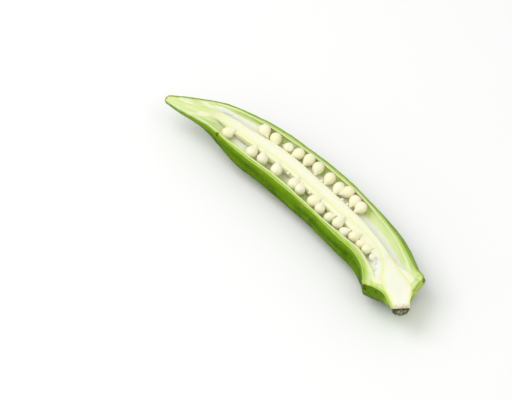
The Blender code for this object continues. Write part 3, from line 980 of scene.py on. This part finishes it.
# In the materials along and side are mm on the pod's map, heights are metres, and the other
# places are mm from the rim, the pith, the chambers' edges or the ring.
def skinMaterial():
    made, place = newMaterial("podSkin")
    tree, podMap = made.node_tree, podMapIn(made.node_tree)
    along, past = attributes(tree, "along", "fromRing")
    side, height = split(podMap)[1], split(place)[2]
    fine = useGroup(tree, streaks, map=podMap, fineness=1.1, stretch=16)
    broad = useGroup(tree, streaks, map=podMap, fineness=0.35, stretch=9, offset=4)
    paler = useGroup(tree, specks, place=place, fineness=1500, size=0.35, share=0.35)
    # painted highlight on the far side's skin just under the cut
    farEdgeHighlight = times(ramp(side, -9, -11), ramp(along, 20, 40))
    farEdgeHighlight = times(farEdgeHighlight, ramp(height, cutLevel - 0.0024, cutLevel - 0.001))
    colour = paint(blend(broad, srgb(62, 98, 0), srgb(94, 136, 0)), [
        (fine, 0.3, (124, 164, 8)),
        (ramp(noiseAt(place, 160), 0.45, 0.7), 0.5, (44, 74, 0)),
        (ramp(noiseAt(place, 900, 4), 0.5, 0.7), 0.4, (116, 150, 10)),
        (paler, 0.15, (150, 186, 60)),
        (ramp(along, 20, 5), 0.25, (140, 172, 48)),
        # painted highlight: the skin lighter towards the cut, most of all on the far edge
        (ramp(height, cutLevel - 0.003, cutLevel), 0.7, (138, 176, 10)),
        (farEdgeHighlight, 0.85, (172, 206, 50)),
        # painted shade: the skin darker towards the bottom, near the floor
        (ramp(height, 0.006, 0.001), 0.45, (40, 66, 0)),
    ])
    # past the ring the shoulder is pale on one side and dark on the other
    shoulder = paint(blend(ramp(side, -7, -1), srgb(196, 214, 112), srgb(92, 130, 14)), [
        (fine, 0.35, (128, 162, 40)),
        # painted shade: the shoulder darker towards the bottom, near the floor
        (ramp(height, 0.008, 0.001), 0.6, (60, 88, 8)),
        (ramp(along, 125, 129), 1, (150, 186, 44)),
    ])
    colour = blend(ramp(past, -0.2, 0.8), colour, shoulder)
    ring = times(ramp(past, -0.6, -0.2), ramp(past, 0.6, 0.2), ramp(noiseAt(place, 330), 0.5, 0.66))
    colour = addMarks(paint(colour, [(ring, 0.7, (92, 66, 22))]), place, marks["skin"])
    dried = ramp(maths("ADD", along, times(noiseAt(place, 900), 1.8)), 132.6, 133.4)
    return finished(made, {
        "Base Color": paint(colour, [(dried, 0.92, (58, 48, 16))]),
        "Roughness": ramp(fine, 0, 1, 0.5, 0.62), "IOR": 1.4, "Specular IOR Level": 0.05,
        "Subsurface Weight": 0.05, "Subsurface Radius": (0.4, 0.8, 0.1), "Subsurface Scale": 0.001,
        "Normal": bumped(maths("ADD", fine, times(paler, 0.8)), 0.5, 0.00015),
    })


def fleshMaterial():
    made, place = newMaterial("cutFlesh")
    tree, podMap = made.node_tree, podMapIn(made.node_tree)
    along, rim, pith, shore = attributes(tree, "along", "rimDist", "pithDist", "shoreDist")
    side, height = split(podMap)[1], split(place)[2]
    fine = useGroup(tree, streaks, map=podMap, fineness=2.2, stretch=12)
    broad = useGroup(tree, streaks, map=podMap, fineness=0.8, stretch=6, offset=2)
    rim = maths("ADD", rim, times(maths("SUBTRACT", noiseAt(podMap, 0.6), 0.5), 0.4))
    # skin edge, green flesh under it, then the pale flesh, with a light line round the chambers
    light = times(ramp(side, 1, -1), ramp(along, 14, 24))
    colour = paint(blend(light, srgb(84, 124, 0), srgb(176, 206, 84)), [
        (ramp(rim, 0.15, 0.6), 1, (146, 188, 16)),
        (ramp(rim, 0.5, 1.2), 1, (188, 214, 88)),
        (ramp(rim, 1.3, 2.8), 1, (228, 240, 180)),
        (times(ramp(shore, 0.8, 0.2), ramp(shore, -0.6, -0.3)), 0.85, (236, 245, 186)),
    ])
    # streaky flesh of the tip, with whiter patches
    tipFlesh = blend(times(fine, 0.7), srgb(214, 230, 146), srgb(232, 241, 186))
    tipFlesh = paint(tipFlesh, [(ramp(broad, 0.35, 0.9), 0.8, (242, 248, 218))])
    tipFlesh = blend(ramp(rim, 0.3, 1.3), colour, tipFlesh)
    colour = paint(blend(ramp(along, 26, 12), colour, tipFlesh), [(fine, 0.2, (248, 251, 224))])
    # the rough flesh between the ring and the stem
    neckFlesh = blend(times(broad, 0.6), srgb(206, 226, 118), srgb(240, 246, 206))
    neckFlesh = blend(ramp(rim, 0.3, 1.5), srgb(176, 206, 50), neckFlesh)
    colour = blend(times(ramp(along, 116, 119), ramp(rim, 0.1, 0.5)), colour, neckFlesh)
    # the pith, and the veins along it, fainter on the left until past the seeds
    pithColour = blend(ramp(along, 8, 34), srgb(238, 245, 186), srgb(254, 254, 232))
    pithColour = paint(pithColour, [(fine, 0.25, (246, 248, 190))])
    colour = blend(times(ramp(pith, 0.1, -0.4), ramp(along, 10, 24)), colour, pithColour)
    strength = maths("MAXIMUM", ramp(side, -0.2, 0.2, 0.42, 0.12), ramp(along, 106, 114, 0, 0.5))
    vein = times(ramp(pith, -0.9, -0.35), ramp(pith, 0.4, -0.2), strength, ramp(along, 12, 30, 0.3, 1))
    glow = times(ramp(pith, -1.8, -0.6), ramp(pith, 0.4, -0.3), ramp(side, 0, -0.4))
    # woody end of the stem, and the sides of the column below the cut
    woody = times(ramp(maths("ADD", along, times(broad, 1.6)), 130.4, 133.4), ramp(rim, 0.2, 0.9))
    worn = times(ramp(along, 130.8, 133), ramp(noiseAt(place, 1300), 0.5, 0.66))
    below = times(ramp(height, cutLevel - 0.0002, cutLevel - 0.0007), ramp(along, 14, 20))
    colour = paint(colour, [
        (times(ramp(rim, 3, 4.4), ramp(along, 20, 32)), 1, (249, 251, 216)),
        (times(ramp(pith, -0.9, -2.4), ramp(along, 20, 36)), 0.5, (255, 255, 240)),
        (vein, 1, (228, 238, 128)),
        (glow, 0.4, (250, 252, 180)),
        (woody, 1, (222, 212, 176)),
        (worn, 0.8, (126, 112, 66)),
        (below, 1, (238, 238, 192)),
    ])
    return finished(made, {
        "Base Color": addMarks(colour, place, marks["flesh"]),
        "Roughness": ramp(fine, 0, 1, 0.34, 0.5), "IOR": 1.4,
        "Subsurface Weight": 0.4, "Subsurface Radius": (1, 1, 0.7), "Subsurface Scale": 0.0015,
        "Normal": bumped(fine, 0.35, 0.0001),
    })


def liningMaterial():
    made, place = newMaterial("chamberLining")
    tree, podMap = made.node_tree, podMapIn(made.node_tree)
    hollow, along = attributes(tree, "hollow", "along")
    fine = useGroup(tree, streaks, map=podMap, fineness=1.4, stretch=6)
    soft = useGroup(tree, streaks, map=podMap, fineness=0.5, stretch=3, offset=7)
    wall = blend(ramp(along, 25, 45), srgb(196, 214, 126), srgb(214, 226, 136))
    wall = paint(wall, [(ramp(along, 75, 95), 1, (220, 234, 174))])
    # whitish membranes, widest towards both ends
    onLeft = maths("GREATER_THAN", split(podMap)[1], 0)
    atTip = maths("MAXIMUM", onLeft, ramp(along, 25, 29, 0, 0.5))
    atTip = times(atTip, ramp(along, 13, 19), ramp(along, 38, 31))
    atEnds = maths("ADD", atTip, ramp(along, 84, 94))
    edge = maths("ADD", hollow, times(maths("SUBTRACT", soft, 0.5), 0.08))
    edge = maths("SUBTRACT", edge, times(onLeft, ramp(along, 70, 86), 0.17))
    colour = paint(blend(ramp(hollow, 0, 0.06), srgb(236, 245, 190), wall), [
        (ramp(hollow, 0.1, 0.4), 0.4, (226, 238, 180)),
        (fine, 0.3, (240, 246, 196)),
        (times(ramp(edge, 0.24, 0.42), atEnds), 1, (252, 253, 236)),
        (times(ramp(hollow, 0.5, 0.7), ramp(along, 22, 30, 0.1, 1)), 1, (248, 250, 236)),
    ])
    return finished(made, {
        "Base Color": addMarks(colour, place, marks["lining"]), "Roughness": 0.3, "IOR": 1.4,
        "Subsurface Weight": 0.9, "Subsurface Radius": (1, 1, 0.9), "Subsurface Scale": 0.003,
        "Normal": bumped(fine, 0.3, 0.0001),
    })


def stemMaterial():
    made, place = newMaterial("brokenStem")
    grain = noiseAt(place, 1400, 4)
    uneven = times(maths("SUBTRACT", grain, 0.5), 0.5)
    uneven = maths("ADD", uneven, attributes(made.node_tree, "fromMiddle")[0])
    colour = paint(blend(ramp(uneven, 0.25, 0.5), srgb(222, 212, 176), srgb(128, 134, 84)), [
        (ramp(noiseAt(place, 500), 0.5, 0.62), 1, (84, 106, 62)),
        (ramp(uneven, 0.6, 0.85), 1, (52, 42, 14)),
    ])
    return finished(made, {"Base Color": colour, "Roughness": 0.75, "Normal": bumped(grain, 0.6, 0.0003)})


def seedMaterial():
    made, place = newMaterial("seedCoat")
    tip, shade = attributes(made.node_tree, "towardsPoint", "seedShade")
    patches = noiseAt(place, 300)
    colour = paint(blend(shade, srgb(255, 252, 222), srgb(255, 246, 202)), [
        (ramp(patches, 0.45, 0.75), 0.5, (255, 254, 232)),
        (ramp(tip, 0.75, 1), 0.6, (255, 252, 220)),
    ])
    return finished(made, {
        "Base Color": colour, "Roughness": ramp(patches, 0.3, 0.7, 0.36, 0.48), "IOR": 1.45,
        "Subsurface Weight": 0.3, "Subsurface Radius": (1, 0.85, 0.45), "Subsurface Scale": 0.001,
        "Normal": bumped(noiseAt(place, 1200), 0.06, 0.0001),
    })


def plainMaterial(name, scale, roughness, colour, other):
    # two colours in soft patches
    made, place = newMaterial(name)
    return finished(made, {"Base Color": blend(noiseAt(place, scale), colour, other), "Roughness": roughness})


print("making the materials")
fuzz = plainMaterial("paleFuzz", 700, 0.6, srgb(190, 214, 110), srgb(120, 160, 40))
fibre = plainMaterial("stemFibre", 700, 0.6, srgb(206, 196, 150), srgb(84, 70, 36))
seedCoat, cutFlesh = seedMaterial(), fleshMaterial()
bySlot = {
    skinSlot: skinMaterial(),
    fleshSlot: cutFlesh,
    liningSlot: liningMaterial(),
    stemSlot: stemMaterial(),
}

print("building the pod")
podHalf = buildPod()
for slot in sorted(bySlot):
    podHalf.data.materials.append(bySlot[slot])
seedHolder = buildColumn(cutFlesh)
print("hanging the seeds")
hangingSeeds = buildSeeds(seedCoat)
print("growing the hairs")
skinFuzz = growHairs("skin_fuzz", podHalf, fuzz)
stemFibres = growHairs("stem_fibres", podHalf, fibre)

for piece, node, slotName in (
    (podHalf, "pod_wall", "green_wall"),
    (skinFuzz, "pod_wall", "green_wall"),
    (stemFibres, "pod_wall", "green_wall"),
    (seedHolder, "seed_column", "cream_seeds"),
    (hangingSeeds, "seed_column", "cream_seeds"),
):
    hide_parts(node)
    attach(piece, "root")

print("setting the stage")
# Lengths are mm for the camera and metres for the floor and the lamps. A lamp stands so much to
# the right, up and back from the pod as the camera sees it, at its distance, with its size and energy.
studio = {
    "floorSide": 3,
    "floorColours": ((0.985, 0.985, 0.98, 1), (0.995, 0.995, 0.99, 1)),
    "lamps": {
        "soft key light": ((-0.8, 0.9, 0.9), 0.9, 0.7, 3.2),
        "soft fill light": ((0.3, 0.3, 1), 1.1, 0.9, 2),
    },
    "worldStrength": 0.62,
    "azimuth": 49.02,
    "elevation": 49.15,
    "lens": 1000,
    "distance": 5051,
    "aim": (-18.58, 3.61),
}


def buildFloor():
    far = studio["floorSide"] / 2
    mesh = bpy.data.meshes.new("floor")
    mesh.from_pydata([(-far, -far, 0), (far, -far, 0), (far, far, 0), (-far, far, 0)], [], [(0, 1, 2, 3)])
    floor = linked("floor", mesh)
    mesh.materials.append(plainMaterial("paleFloor", 40, 0.8, *studio["floorColours"]))


def aim(thing, way):
    thing.rotation_mode = "QUATERNION"
    thing.rotation_quaternion = way.to_track_quat("-Z", "Y")


def addCamera():
    # hands back what is right of, over and behind the pod as the camera sees it
    turn, rise = math.radians(studio["azimuth"]), math.radians(studio["elevation"])
    back = Vector((math.sin(turn) * math.cos(rise), -math.cos(turn) * math.cos(rise), math.sin(rise)))
    right = upright.cross(back).normalized()
    up = back.cross(right)
    camera = linked("camera", bpy.data.cameras.new("camera"))
    camera.data.lens = studio["lens"]
    target = right * studio["aim"][0] + up * studio["aim"][1]
    camera.location = (target + back * studio["distance"]) * mm
    aim(camera, -back)
    bpy.context.scene.camera = camera
    return right, up, back


def addLamps(ways):
    for name, (shares, distance, size, energy) in studio["lamps"].items():
        way = sum((way * share for way, share in zip(ways, shares)), Vector())
        lamp = linked(name, bpy.data.lights.new(name, "AREA"))
        lamp.data.size = size
        lamp.data.energy = energy
        lamp.location = way.normalized() * distance
        aim(lamp, -way)


buildFloor()
addLamps(addCamera())
world = bpy.data.worlds.new("studio")
world.use_nodes = True
background = world.node_tree.nodes["Background"]
setInputs(world.node_tree, background, {"Color": (1, 1, 1, 1), "Strength": studio["worldStrength"]})
bpy.context.scene.world = world
bpy.context.scene.view_settings.view_transform = "Standard"
